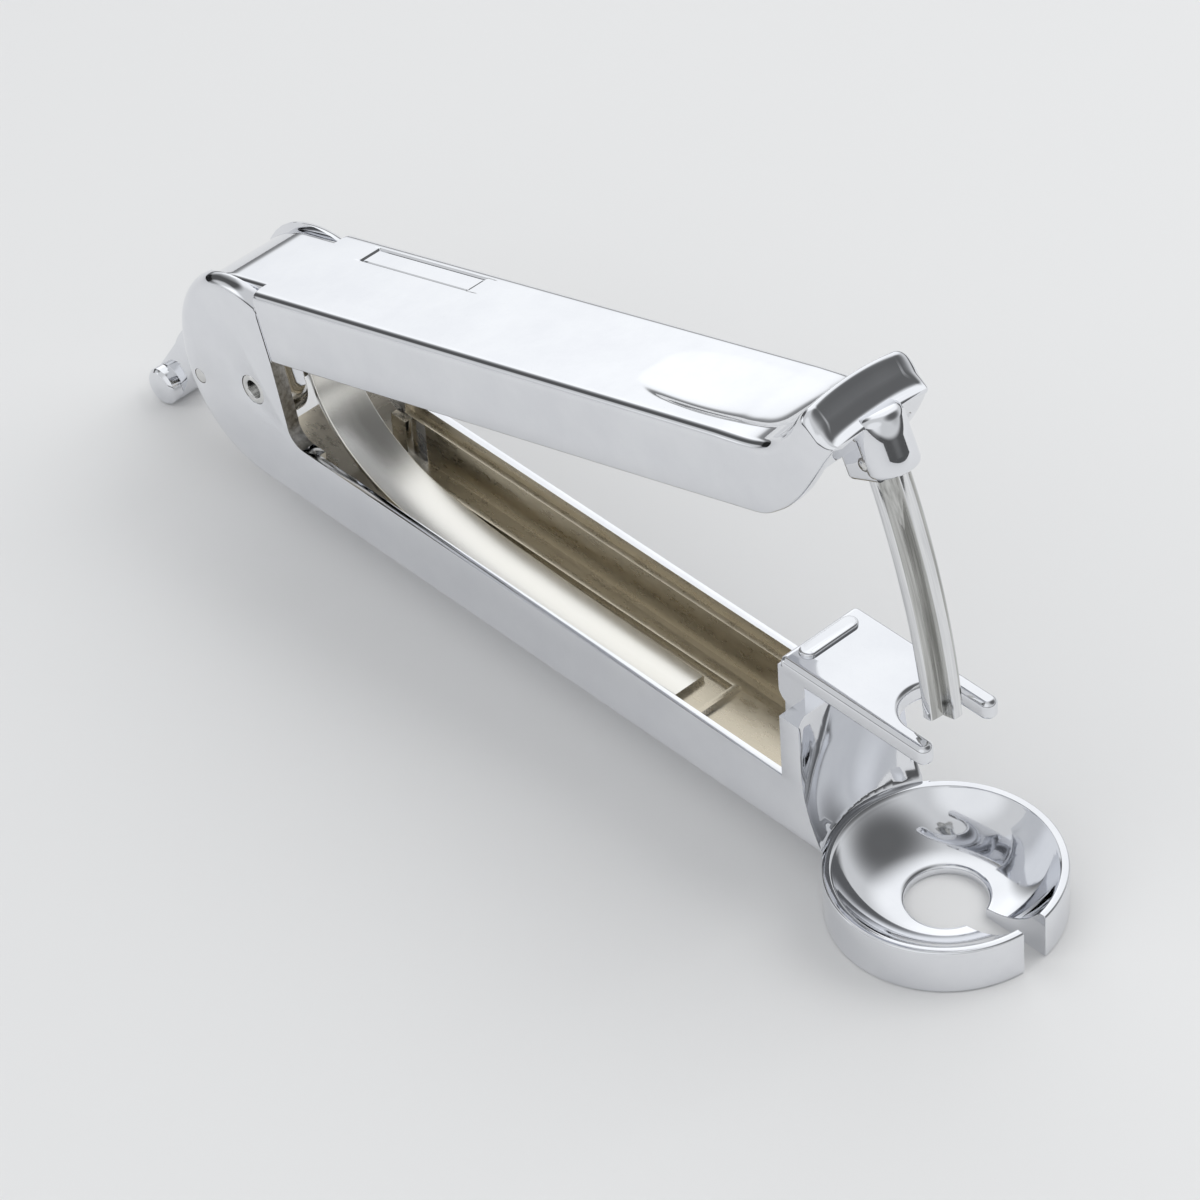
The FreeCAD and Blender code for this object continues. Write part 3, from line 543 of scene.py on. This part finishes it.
def makeLeverShell(v):
    sharpTop = smoothLine(v["topLine"])

    def topAt(u):  # the same line with its foot softened
        reach = v["softReach"] * between(u, *v["softIn"]) * (1 - between(u, *v["softOut"]))
        return sum(sharpTop(u + reach * k / 4) for k in range(-4, 5)) / 9

    noseAt = smoothLine(v["noseLine"])
    widthAt = smoothLine(v["noseWidth"])
    flatHalf = v["halfWidth"] - v["edgeRadius"]
    across = sorted(set([i / 32 for i in range(-32, 33)]
                        + [(y + d) / flatHalf for y in v["badgeY"] for d in grooveSteps(v)]))
    rings = []
    for u in leverStations(v):
        wide = u >= v["shoulderU"]
        q = v["shoulderRound"]
        ease = q - math.sqrt(max(0, q ** 2 - max(0, v["shoulderU"] + q - u) ** 2)) if wide else 0
        half = (widthAt(u) - ease) if wide else v["tongueHalfWidth"]
        low = (noseAt(u) + ease) if wide else v["coverRoof"]
        high = topAt(u)
        if u < 0:
            left = v["coverRound"] - math.radians(u + v["coverEnd"]) * v["top"]
            high -= v["coverRound"] - math.sqrt(max(0, v["coverRound"] ** 2 - max(0, left) ** 2))
        low = min(low, high - 0.04)
        roof = low
        if wide:
            roof = max(low, v["roof"] if u < v["roofStepU"] else v["roof"] + v["roofStep"])
        lip = between(u, *v["lipU"])
        radius = v["edgeRadius"] + (v["lipEdgeRadius"] - v["edgeRadius"]) * lip
        radius = min(radius, max(0.02, (high - low) * 0.45))
        foot = min(0.35, (high - low) * 0.2)
        fall = v["lipFall"] * lip
        flat = half - radius
        side = []
        for k in range(4):  # rounded foot of the side wall
            a = math.pi / 2 * k / 3
            side.append((half - foot + foot * math.sin(a), low + foot - foot * math.cos(a)))
        edgeTop = high - fall
        for k in range(1, 4):
            side.append((half, low + foot + (edgeTop - radius - low - foot) * k / 4))
        for k in range(13):  # long top edge
            a = math.pi / 2 * k / 12
            side.append((half - radius + radius * math.cos(a), edgeTop - radius + radius * math.sin(a)))
        ring = [(-y, w) for y, w in side]
        for s in across[1:-1]:
            y = s * flat
            w = high - fall * s * s
            slant = 0.5 * (1 - (y / v["dishHalfWidth"])) if abs(y) < v["dishHalfWidth"] else 0
            rho = ((u - v["dishCentre"]) / v["dishHalfLength"]) ** 2 + (y / v["dishHalfWidth"]) ** 4
            if rho < 1:
                w -= v["dishDepth"] * slant * (1 - rho) ** 1.2
            rim = max(v["badgeU"][0] - u, u - v["badgeU"][1], v["badgeY"][0] - y, y - v["badgeY"][1])
            w -= v["badgeDepth"] * between(-rim, -0.01, 0.01)
            w -= v["badgeGroove"] * max(0, 1 - abs(rim) / v["badgeGrooveHalf"])
            if v["scoopStart"] < u < v["scoopEnd"] and abs(y) < v["scoopHalfWidth"]:
                along = math.sin(math.pi * (u - v["scoopStart"]) / (v["scoopEnd"] - v["scoopStart"]))
                w -= v["scoopDepth"] * along * (1 - (y / v["scoopHalfWidth"]) ** 4)
            ring.append((y, w))
        ring += side[::-1]
        inner = min(v["innerHalfWidth"], half - 0.5)
        for k in range(5):
            ring.append((inner, low + (roof - 0.6 - low) * k / 4 if roof - 0.6 > low else low))
        ring.append((inner - 0.2, max(low, roof - 0.2)))
        for k in range(7):
            ring.append((inner * 0.9 * (1 - k / 3), roof))
        ring.append((-inner + 0.2, max(low, roof - 0.2)))
        for k in range(4, -1, -1):
            ring.append((-inner, low + (roof - 0.6 - low) * k / 4 if roof - 0.6 > low else low))
        turn = math.radians(min(u, 0))
        along = max(u, 0)
        rings.append([onLever(along * math.cos(turn) + w * math.sin(turn), y, w * math.cos(turn))
                      for y, w in ring])
    return loftRings("leverShell", rings, finish["chrome"], 40)


bossValues = {"footU": 125.55, "footW": 11.0, "tilt": 7.0, "radius": 3.5, "length": 8.4,
              "earBack": 6.3, "earHalfWidth": 3.2, "earCorner": 1.3, "earDrop": 0.5, "earLength": 6.5}


def makeBoss(v):
    turn = Matrix.Rotation(math.radians(-v["tilt"]), 3, "Y")

    def at(along, y, up):
        p = turn @ Vector((along, 0, up))
        return onLever(v["footU"] + p.x, y, v["footW"] + p.z)

    rings = []
    profile = [(0.001, 0.0), (v["radius"] * 0.5, 0.0), (v["radius"] - 0.9, 0.0), (v["radius"] - 0.45, 0.08),
               (v["radius"] - 0.15, 0.3), (v["radius"], 0.75), (v["radius"], 2.5), (v["radius"], 5.0),
               (v["radius"], 7.2), (v["radius"] - 0.25, 7.9), (v["radius"] - 0.9, v["length"])]
    for r, h in profile:
        turns = [math.tau * k / 64 for k in range(64)]
        rings.append([at(r * math.cos(a), r * math.sin(a), h) for a in turns])
    barrel = loftRings("leverBoss", rings, finish["chrome"], 50)
    outline = []
    back, half, corner = -v["earBack"], v["earHalfWidth"], v["earCorner"]
    for sx, sy, start in ((1, 1, 0), (0, 1, 0), (0, -1, 0), (1, -1, 0)):
        if sx:
            outline.append((0.0, sy * half))
        else:
            for k in range(7):
                a = math.pi / 2 * (k if sy > 0 else 6 - k) / 6
                outline.append((back + corner - corner * math.sin(a),
                                sy * (half - corner + corner * math.cos(a))))
    rings = []
    for tuck, h in ((0.7, 0.0), (0.35, 0.06), (0.1, 0.28), (0.0, 0.7), (0.0, 3.0), (0.0, v["earLength"])):
        ring = []
        for x, y in outline:
            along = min(x + tuck, 0) if x < 0 else min(x, 0)
            ring.append(at(along, y * (half - tuck) / half, h - v["earDrop"]))
        rings.append(ring)
    ear = loftRings("leverEar", rings, finish["chrome"], 50)
    return [barrel, ear]


pinValues = {"spot": (123.83, 12.93), "radius": 0.72, "halfLength": 3.5, "dome": 0.12,
             "seatRadius": 0.98, "seatHalfLength": 3.4}


def makePlungerPin(v):
    for name, radius, half, mat in (("plungerPin", v["radius"], v["halfLength"], "steel"),
                                    ("plungerPinSeat", v["seatRadius"], v["seatHalfLength"], "cast")):
        rings = []
        for y, r in ((-half, radius - v["dome"]), (-half + v["dome"], radius),
                     (half - v["dome"], radius), (half, radius - v["dome"])):
            turn = [math.tau * k / 32 for k in range(32)]
            rings.append([onLever(v["spot"][0] + r * math.cos(a), y, v["spot"][1] + r * math.sin(a))
                          for a in turn])
        piece = loftRings(name, rings, finish[mat], 50)
        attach(piece, "lever")
        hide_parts("plunger_pin")


makePlungerPin(pinValues)


def makeLever(v):
    shell = makeLeverShell(v)
    planes = [(onLever(u, 0, w), onLever(du, 0, dw) - onLever(0, 0, 0))
              for (u, w), (du, dw) in v["heelPlanes"]]
    rear = cleanCopy("lever_casting", "leverHeel", planes)
    dress(rear, finish["chrome"])
    breakEdges(rear, 0.2 * mm)
    pieces = [shell, rear] + makeBoss(bossValues)
    for piece in pieces:
        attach(piece, "lever")
        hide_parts("lever_casting")
    print("stage: lever")


makeLever(leverValues)


# Small builder for Geometry Nodes trees

class nodeTree:
    def __init__(self, name, sockets):
        self.tree = bpy.data.node_groups.new(name, "GeometryNodeTree")
        self.tree.interface.new_socket("Geometry", in_out="INPUT", socket_type="NodeSocketGeometry")
        self.ids = {}
        for label, value in sockets.items():
            kind = "NodeSocketMaterial" if label == "Finish" else "NodeSocketFloat"
            socket = self.tree.interface.new_socket(label, in_out="INPUT", socket_type=kind)
            if kind == "NodeSocketFloat":
                socket.default_value = value
            self.ids[label] = socket.identifier
        self.tree.interface.new_socket("Geometry", in_out="OUTPUT", socket_type="NodeSocketGeometry")
        self.start = self.tree.nodes.new("NodeGroupInput")
        self.end = self.tree.nodes.new("NodeGroupOutput")
        self.values = sockets

    def input(self, label):
        return self.start.outputs[label]

    def node(self, kind, **links):
        node = self.tree.nodes.new(kind)
        for key, value in links.items():
            self.put(node.inputs[key.replace("_", " ")], value)
        return node

    def put(self, socket, value):
        if isinstance(value, bpy.types.NodeSocket):
            self.tree.links.new(value, socket)
        else:
            socket.default_value = value

    def math(self, kind, *values):
        node = self.tree.nodes.new("ShaderNodeMath")
        node.operation = kind
        for socket, value in zip(node.inputs, values):
            self.put(socket, value)
        return node.outputs[0]

    def finish(self, geometry):
        real = self.node("GeometryNodeRealizeInstances", Geometry=geometry)
        paint = self.node("GeometryNodeSetMaterial", Geometry=real.outputs[0])
        self.put(paint.inputs["Material"], self.input("Finish"))
        self.tree.links.new(paint.outputs[0], self.end.inputs[0])

    def build(self, name, source, mat):  # runs the tree on a source mesh and keeps a plain mesh
        holder = bpy.data.objects.new(name + "Source", source)
        bpy.context.scene.collection.objects.link(holder)
        modifier = holder.modifiers.new("shape", "NODES")
        modifier.node_group = self.tree
        for label, value in self.values.items():
            modifier[self.ids[label]] = mat if label == "Finish" else value
        graph = bpy.context.evaluated_depsgraph_get()
        graph.update()
        mesh = bpy.data.meshes.new_from_object(holder.evaluated_get(graph))
        mesh.name = name
        bpy.data.objects.remove(holder)
        piece = bpy.data.objects.new(name, mesh)
        bpy.context.scene.collection.objects.link(piece)
        return piece


def tidyMesh(piece, sharpAngle):
    work = bmesh.new()
    work.from_mesh(piece.data)
    settle(work, piece.data, sharpAngle)


# Plunger: fluted rod on an arc about the hinge

plungerValues = {
    "Arc Radius": 124.5, "Rod Radius": 2.85, "Groove Floor": 1.35, "Groove Slope": 1.3,
    "Tip Angle": -11.5, "Top Angle": 7.6, "Run Out Start": 1.35, "Run Out End": 6.6, "Arris": 0.12,
    "Finish": None,
}
rodCap = 0.04  # share of the grid that closes each end
grooveStep = 0.09  # mm below the rod's surface where a groove's painted shade starts


def inGroove(c):
    reach = math.hypot(c.x - hinge.x / mm, c.z - hinge.z / mm) - plungerValues["Arc Radius"]
    return math.hypot(reach, c.y) < plungerValues["Rod Radius"] - grooveStep


def makePlunger(v):
    t = nodeTree("flutedRod", v)
    grid = t.node("GeometryNodeMeshGrid", Size_X=1.0, Size_Y=1.0, Vertices_X=150, Vertices_Y=161)
    here = t.node("GeometryNodeInputPosition")
    split = t.node("ShaderNodeSeparateXYZ", Vector=here.outputs[0])
    along = t.math("ADD", split.outputs["X"], 0.5)
    around = t.math("MULTIPLY", t.math("ADD", split.outputs["Y"], 0.5), math.tau)
    body = t.node("ShaderNodeMapRange", Value=along)
    for key, value in (("From Min", rodCap), ("From Max", 1 - rodCap)):
        body.inputs[key].default_value = value
    t.put(body.inputs["To Min"], t.input("Tip Angle"))
    t.put(body.inputs["To Max"], t.input("Top Angle"))
    angle = body.outputs["Result"]
    runOut = t.node("ShaderNodeMapRange", Value=angle)
    t.put(runOut.inputs["From Min"], t.input("Run Out Start"))
    t.put(runOut.inputs["From Max"], t.input("Run Out End"))
    t.put(runOut.inputs["To Min"], t.input("Groove Floor"))
    t.put(runOut.inputs["To Max"], t.math("ADD", t.input("Rod Radius"), 0.1))
    quarter = t.math("FLOORED_MODULO", around, math.pi / 2)
    sector = t.math("ABSOLUTE", t.math("SUBTRACT", quarter, math.pi / 4))
    slope = t.input("Groove Slope")
    wall = t.math("DIVIDE", t.math("MULTIPLY", slope, t.input("Groove Floor")),
                  t.math("SUBTRACT", t.math("MULTIPLY", slope, t.math("COSINE", sector)),
                         t.math("SINE", sector)))
    ramp = t.math("DIVIDE", runOut.outputs["Result"], t.math("COSINE", sector))
    grooved = t.math("SMOOTH_MAX", wall, ramp, 0.05)
    radius = t.math("SMOOTH_MIN", grooved, t.input("Rod Radius"), t.input("Arris"))
    capLow = t.node("ShaderNodeMapRange", Value=along)
    capHigh = t.node("ShaderNodeMapRange", Value=along)
    for node, a, b in ((capLow, 0.0, rodCap), (capHigh, 1.0, 1 - rodCap)):
        node.inputs["From Min"].default_value = a
        node.inputs["From Max"].default_value = b
    shrink = t.math("MULTIPLY", capLow.outputs[0], capHigh.outputs[0])
    radius = t.math("MULTIPLY", radius, shrink)
    inPlane = t.math("MULTIPLY", radius, t.math("COSINE", around))
    aside = t.math("MULTIPLY", radius, t.math("SINE", around))
    turned = t.math("RADIANS", t.math("ADD", angle, openAngle))
    far = t.math("ADD", t.input("Arc Radius"), inPlane)
    x = t.math("ADD", t.math("MULTIPLY", t.math("MULTIPLY", far, t.math("COSINE", turned)), mm), hinge.x)
    z = t.math("ADD", t.math("MULTIPLY", t.math("MULTIPLY", far, t.math("SINE", turned)), mm), hinge.z)
    y = t.math("MULTIPLY", aside, mm)
    place = t.node("ShaderNodeCombineXYZ", X=x, Y=y, Z=z)
    moved = t.node("GeometryNodeSetPosition", Geometry=grid.outputs["Mesh"], Position=place.outputs[0])
    t.finish(moved.outputs[0])
    piece = t.build("flutedPlunger", bpy.data.meshes.new("seed"), finish["rod"])
    tidyMesh(piece, 42)
    # groove faces get the darker steel, which is painted shade in the grooves
    paintFaces(piece, finish["groove"], lambda c, n: inGroove(c))
    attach(piece, "lever")
    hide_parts("plunger")
    print("stage: plunger")


makePlunger(plungerValues)


# Leaf spring: a strip swept along its path, narrower at the foot

springValues = {"Thickness": 0.9, "Width": 7.2, "Foot Width": 5.4, "Corner": 0.22,
                "Taper Start": -98.0, "Taper End": -47.5, "Finish": None}
springPath = [(-47.5, 8.05), (-62.0, 8.05), (-78.0, 8.1), (-92.0, 8.5), (-102.5, 9.95), (-110.0, 13.2),
              (-115.4, 18.2), (-118.3, 24.4), (-118.9, 30.5), (-117.4, 35.6), (-113.2, 39.35)]


def pathMesh(name, points, steps):
    curve = bpy.data.curves.new(name, "CURVE")
    curve.dimensions = "3D"
    spline = curve.splines.new("BEZIER")
    spline.bezier_points.add(len(points) - 1)
    for i, (knot, (x, z)) in enumerate(zip(spline.bezier_points, points)):
        before, after = points[max(0, i - 1)], points[min(len(points) - 1, i + 1)]
        way = Vector((after[0] - before[0], 0, after[1] - before[1])).normalized()
        knot.co = Vector((x, 0, z)) * mm
        knot.handle_left_type = knot.handle_right_type = "FREE"
        left = math.dist(before, (x, z)) / 3
        right = math.dist(after, (x, z)) / 3
        knot.handle_left = knot.co - way * left * mm
        knot.handle_right = knot.co + way * right * mm
    curve.resolution_u = steps
    holder = bpy.data.objects.new(name, curve)
    bpy.context.scene.collection.objects.link(holder)
    mesh = bpy.data.meshes.new_from_object(holder.evaluated_get(bpy.context.evaluated_depsgraph_get()))
    bpy.data.objects.remove(holder)
    return mesh


def makeSpring(v):
    t = nodeTree("sweptStrip", v)
    line = t.node("GeometryNodeMeshToCurve", Mesh=t.input("Geometry"))
    shape = t.node("GeometryNodeCurvePrimitiveQuadrilateral",
                   Width=t.math("MULTIPLY", t.input("Width"), mm),
                   Height=t.math("MULTIPLY", t.input("Thickness"), mm))
    rounded = t.node("GeometryNodeFilletCurve")
    t.put(rounded.inputs["Curve"], shape.outputs[0])
    rounded.mode = "POLY"
    t.put(rounded.inputs["Count"], 4)
    t.put(rounded.inputs["Radius"], t.math("MULTIPLY", t.input("Corner"), mm))
    strip = t.node("GeometryNodeCurveToMesh", Curve=line.outputs[0])
    t.put(strip.inputs["Profile Curve"], rounded.outputs[0])
    t.put(strip.inputs["Fill Caps"], True)
    here = t.node("GeometryNodeInputPosition")
    split = t.node("ShaderNodeSeparateXYZ", Vector=here.outputs[0])
    taper = t.node("ShaderNodeMapRange", Value=split.outputs["X"])
    t.put(taper.inputs["From Min"], t.math("MULTIPLY", t.input("Taper Start"), mm))
    t.put(taper.inputs["From Max"], t.math("MULTIPLY", t.input("Taper End"), mm))
    taper.inputs["To Min"].default_value = 1.0
    t.put(taper.inputs["To Max"], t.math("DIVIDE", t.input("Foot Width"), t.input("Width")))
    place = t.node("ShaderNodeCombineXYZ", X=split.outputs["X"], Z=split.outputs["Z"],
                   Y=t.math("MULTIPLY", split.outputs["Y"], taper.outputs["Result"]))
    moved = t.node("GeometryNodeSetPosition", Geometry=strip.outputs[0], Position=place.outputs[0])
    t.finish(moved.outputs[0])
    piece = t.build("leafSpring", pathMesh("springPath", springPath, 16), finish["spring"])
    tidyMesh(piece, 35)
    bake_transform(piece)
    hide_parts("leaf_spring")
    print("stage: leaf spring", [tuple(round(c, 4) for c in piece.bound_box[k]) for k in (0, 6)])


makeSpring(springValues)


# Stage, light and camera

stageValues = {
    "floorColour": (0.80, 0.80, 0.80), "floorRadius": 1.1, "floorDrop": 0.00002, "floorRoughness": 0.6,
    "lamps": {"backSoftbox": ((0.35, 0.70, 0.95), (1.0, 1.0), 6.5),
              "sideSoftbox": ((-0.35, -0.75, 0.9), (0.9, 0.9), 1.9)},
    "lampAim": (-0.06, 0, 0),
    "skyLow": 0.10, "skyHigh": 0.70, "skyTint": (0.97, 0.985, 1.0), "strength": 0.97,
    "horizon": (0.03, 0.16), "darkest": 0.02, "brightest": 1.4,
    "panels": [((-0.57, 0.49, 0.66), 0.72, 0.92, 0.42),  # large panel over the far left
               ((-0.85, 0.49, 0.22), 0.86, 0.97, 0.16),  # pale wall beyond the lever
               ((0.45, 0.49, 0.74), 0.72, 0.99, -0.56),  # dark ceiling gap to the right
               ((-0.90, -0.22, 0.36), 0.87, 0.95, -0.60),  # black flag to the left
               ((-0.80, -0.57, 0.08), 0.93, 0.98, 0.60),  # low card to the left
               ((0.3, -0.8, 0.5), 0.80, 0.95, 0.25)],  # soft panel in front
}


def makeFloor(v):
    bpy.ops.mesh.primitive_circle_add(vertices=96, radius=v["floorRadius"], fill_type="NGON",
                                      location=(0, 0, -v["floorDrop"]))
    floor = bpy.context.object
    floor.name = "floor"
    mat, _, shader = newMaterial("paleFloor")
    shader.inputs["Base Color"].default_value = (*v["floorColour"], 1)
    shader.inputs["Roughness"].default_value = v["floorRoughness"]
    floor.data.materials.append(mat)


def softbox(name, place, size, power, aim):
    data = bpy.data.lights.new(name, "AREA")
    data.shape = "RECTANGLE"
    data.size, data.size_y = size
    data.energy = power
    lamp = bpy.data.objects.new(name, data)
    lamp.location = place
    lamp.visible_glossy = False
    lamp.rotation_euler = (Vector(aim) - Vector(place)).to_track_quat("-Z", "Y").to_euler()
    bpy.context.scene.collection.objects.link(lamp)


def makeWorld(v):  # a studio tent: dark at the horizon, pale walls, bright panels
    world = bpy.data.worlds.new("studioTent")
    bpy.context.scene.world = world
    world.use_nodes = True
    tree = world.node_tree
    back = tree.nodes["Background"]
    coord = tree.nodes.new("ShaderNodeTexCoord")

    def glow(toward, edge, core, amount):
        dot = tree.nodes.new("ShaderNodeVectorMath")
        dot.operation = "DOT_PRODUCT"
        tree.links.new(coord.outputs["Generated"], dot.inputs[0])
        dot.inputs[1].default_value = Vector(toward).normalized()
        ease = tree.nodes.new("ShaderNodeMapRange")
        ease.interpolation_type = "SMOOTHSTEP"
        ease.inputs["From Min"].default_value = edge
        ease.inputs["From Max"].default_value = core
        ease.inputs["To Max"].default_value = amount
        tree.links.new(dot.outputs["Value"], ease.inputs["Value"])
        return ease.outputs["Result"]

    def plus(a, b):
        node = tree.nodes.new("ShaderNodeMath")
        tree.links.new(a, node.inputs[0])
        tree.links.new(b, node.inputs[1])
        return node.outputs[0]

    level = glow((0, 0, 1), *v["horizon"], v["skyHigh"] - v["skyLow"])
    for panel in v["panels"]:
        level = plus(level, glow(*panel))
    lift = tree.nodes.new("ShaderNodeMath")
    tree.links.new(level, lift.inputs[0])
    lift.inputs[1].default_value = v["skyLow"]
    clamp = tree.nodes.new("ShaderNodeClamp")
    clamp.inputs["Min"].default_value = v["darkest"]
    clamp.inputs["Max"].default_value = v["brightest"]
    tree.links.new(lift.outputs[0], clamp.inputs["Value"])
    tint = tree.nodes.new("ShaderNodeVectorMath")
    tint.operation = "SCALE"
    tint.inputs[0].default_value = v["skyTint"]
    tree.links.new(clamp.outputs[0], tint.inputs["Scale"])
    tree.links.new(tint.outputs[0], back.inputs["Color"])
    back.inputs["Strength"].default_value = v["strength"]


makeFloor(stageValues)
makeWorld(stageValues)
for name, (place, size, power) in stageValues["lamps"].items():
    softbox(name, place, size, power, stageValues["lampAim"])


cameraValues = {
    "right": (0.68378, 0.72773, -0.05356),
    "up": (-0.45754, 0.48477, 0.74544),
    "back": (0.56843, -0.48520, 0.66444),
    "place": (0.3942, -0.3915, 0.5494),
    "lens": 180.8, "sensor": 36.0, "clip": (0.01, 20.0),
}


def makeCamera(v):
    data = bpy.data.cameras.new("photoView")
    data.lens = v["lens"]
    data.sensor_width = v["sensor"]
    data.clip_start, data.clip_end = v["clip"]
    camera = bpy.data.objects.new("photoView", data)
    r, u, b = Vector(v["right"]), Vector(v["up"]), Vector(v["back"])
    camera.matrix_world = Matrix(((r.x, u.x, b.x, v["place"][0]), (r.y, u.y, b.y, v["place"][1]),
                                  (r.z, u.z, b.z, v["place"][2]), (0, 0, 0, 1)))
    bpy.context.scene.collection.objects.link(camera)
    bpy.context.scene.camera = camera


makeCamera(cameraValues)
bpy.context.scene.view_settings.view_transform = "Standard"
print("stage: stage, light and camera")
